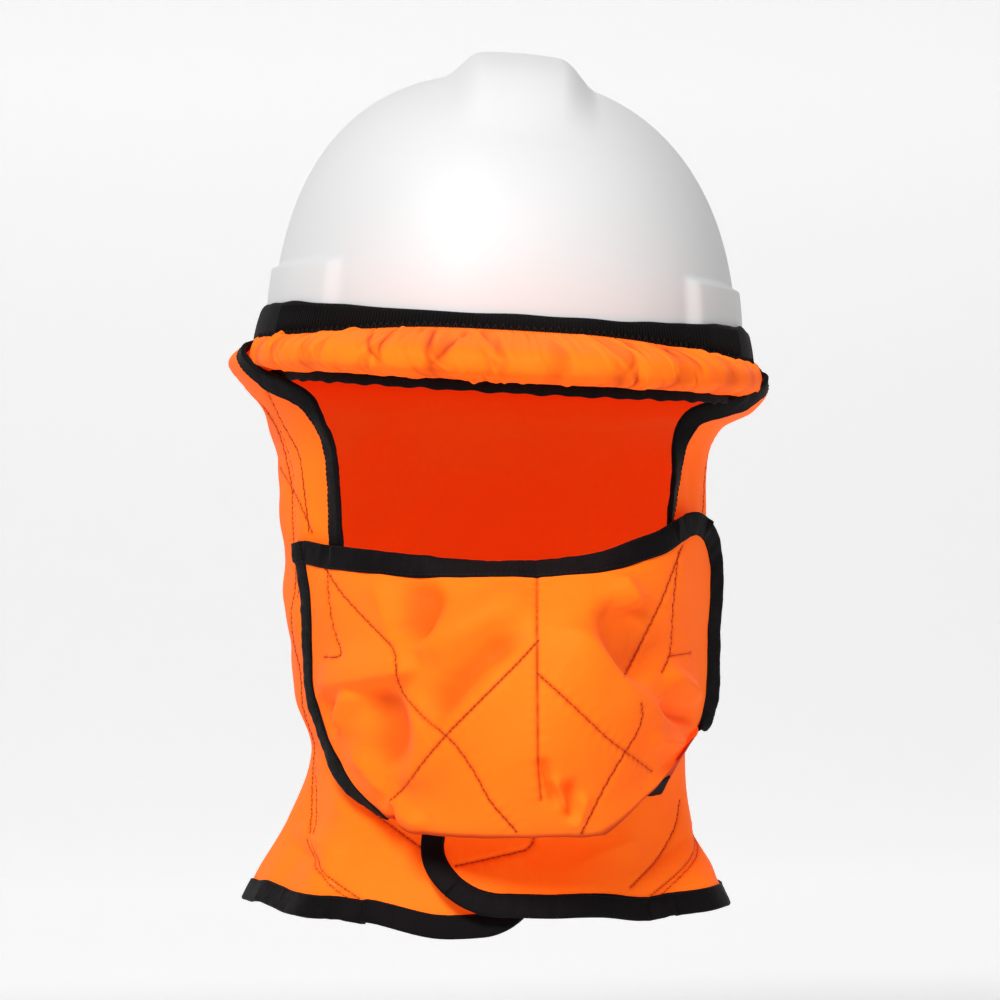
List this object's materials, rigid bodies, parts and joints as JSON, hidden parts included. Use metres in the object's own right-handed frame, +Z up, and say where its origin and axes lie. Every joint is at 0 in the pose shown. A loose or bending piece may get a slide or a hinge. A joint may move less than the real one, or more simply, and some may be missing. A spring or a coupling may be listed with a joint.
{
  "type": "hard hat with legionnaire cap",
  "caption": "Hard hat with a legionnaire cap of chemical-resistant cloth: gathered peak cover, cape with neck flaps and a mouth cover, edged in black tape, open below for a head.",
  "frame": {"origin": "middle of the hat's head opening, at the height of its brim", "axes": "+Z up through the crown, -Y to the front where the peak is, +X to the wearer's left"},
  "size_m": [0.2468, 0.3131, 0.3922],
  "materials": {
    "shell": "moulded white plastic with a soft gloss",
    "cloth": "fluorescent orange woven cloth, matt",
    "tape": "black woven binding tape, matt",
    "elastic": "black ribbed elastic, matt"
  },
  "bodies": {
    "root": {"helmet_shell": "shell", "crown_elastic": "elastic", "peak_cover": "cloth", "peak_elastic": "elastic", "cape_back": "cloth", "cape_left": "cloth", "cape_right": "cloth", "face_binding_left": "tape", "face_binding_right": "tape", "hem_binding": "tape", "mouth_cover": "cloth", "mouth_binding_top": "tape", "mouth_binding_side": "tape", "mouth_binding_under": "tape"}
  },
  "joints": []
}
